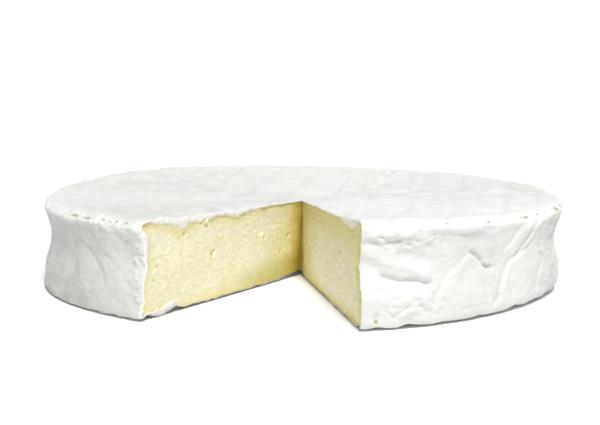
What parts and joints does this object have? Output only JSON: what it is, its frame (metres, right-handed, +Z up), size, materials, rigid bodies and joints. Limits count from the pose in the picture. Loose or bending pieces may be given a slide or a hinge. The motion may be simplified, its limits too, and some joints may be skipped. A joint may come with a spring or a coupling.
{
  "type": "brie wheel",
  "caption": "Low round soft-ripened cheese in a creased white rind, with a one-eighth wedge cut out to its centre.",
  "frame": {"origin": "the wheel's centre, on its flat underside at table level", "axes": "+Z up out of the top of the wheel; the wedge-shaped cut opens towards -Y; +X to the right as seen from the cut"},
  "size_m": [0.2037, 0.1939, 0.0353],
  "materials": {
    "rind": "matt, downy white mould rind",
    "paste": "satin, pale yellow soft paste"
  },
  "bodies": {
    "root": {"cheese_wheel": "rind"}
  },
  "joints": []
}
